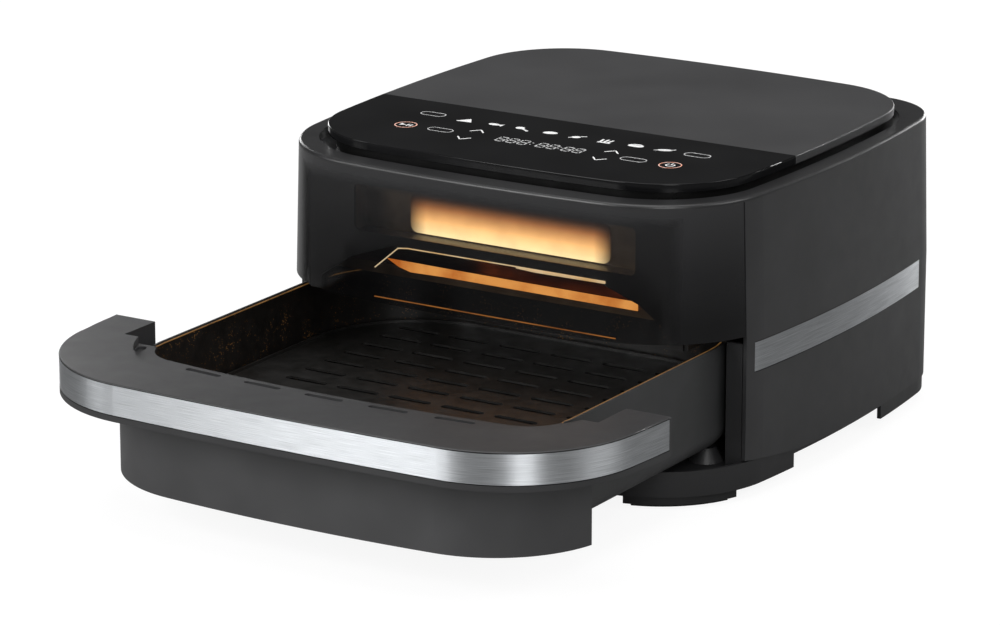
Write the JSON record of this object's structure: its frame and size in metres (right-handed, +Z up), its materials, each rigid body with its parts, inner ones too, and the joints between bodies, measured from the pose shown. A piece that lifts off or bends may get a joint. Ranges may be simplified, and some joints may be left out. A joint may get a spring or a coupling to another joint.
{
  "type": "air fryer pizza oven",
  "caption": "Countertop pizza oven with rounded casing, wrap-round window, touch lid and a pull-out drawer with a steel-banded grip ring, basin and slotted plate.",
  "frame": {"origin": "middle of the footprint box at floor level, with the drawer open as pictured", "axes": "+Z up, -Y towards the user (the drawer slides out along -Y), +X to the right seen from the front"},
  "size_m": [0.4474, 0.622, 0.225],
  "materials": {
    "casing_plastic": "satin charcoal moulded plastic",
    "grip_plastic": "satin dark grey moulded plastic",
    "cover_plastic": "gloss black moulded plastic",
    "lid_metal": "satin dark grey powder coat",
    "touch_glass": "opaque gloss black",
    "window_glass": "tinted smoke grey",
    "steel_band": "long brushed",
    "liner_steel": "black heat-proof enamel",
    "nonstick": "speckled non-stick coating",
    "frame_metal": "satin dark grey coat",
    "bright_steel": "plain steel sheet",
    "fan_aluminium": "pressed sheet",
    "heater_steel": "glowing heater sheath",
    "lamp_lens": "frosted warm lens",
    "circuit_board": "green solder mask",
    "rubber": "matt black"
  },
  "bodies": {
    "housing": {"base_tray": "casing_plastic", "rubber_feet": "rubber", "outer_shell": "casing_plastic", "side_band_left": "steel_band", "side_band_right": "steel_band", "window_glass": "window_glass", "top_cover": "cover_plastic", "lid_carrier": "cover_plastic", "control_glass": "touch_glass", "top_panel": "lid_metal", "control_board": "circuit_board", "chamber_front_wall": "liner_steel", "chamber_liner": "liner_steel", "lamp_lens": "lamp_lens", "lamp_housing": "bright_steel", "lamp_bulb": "lamp_lens", "fan_guard": "bright_steel", "heating_element": "heater_steel", "fan_motor": "bright_steel", "motor_bracket": "bright_steel", "power_board": "circuit_board", "cord_gland": "rubber", "drawer_rail_left": "bright_steel", "drawer_rail_right": "bright_steel", "base_screws": "bright_steel", "drawer_jambs": "casing_plastic", "drawer_guides": "casing_plastic"},
    "drawer": {"drawer_frame": "frame_metal", "basin": "nonstick", "grip_ring": "grip_plastic", "grip_band": "steel_band", "drawer_bezel": "grip_plastic", "lower_panel": "grip_plastic", "drawer_runner_left": "bright_steel", "drawer_runner_right": "bright_steel"},
    "plate": {"crisper_plate": "nonstick", "plate_feet": "rubber"},
    "fan": {"hot_air_fan": "fan_aluminium", "fan_shaft": "bright_steel", "cooling_fan": "casing_plastic"}
  },
  "joints": [
    {"name": "drawer_slide", "type": "slide", "parent": "housing", "child": "drawer", "axis": [0, -1, 0], "range_m": [-0.207, 0.06]},
    {"name": "plate_lift", "type": "slide", "parent": "drawer", "child": "plate", "axis": [0, 0, 1], "range_m": [0, 0.03]},
    {"name": "fan_spin", "type": "hinge", "parent": "housing", "child": "fan", "pos_m": [0, 0.124, 0.142], "axis": [0, 0, 1], "continuous": true}
  ]
}
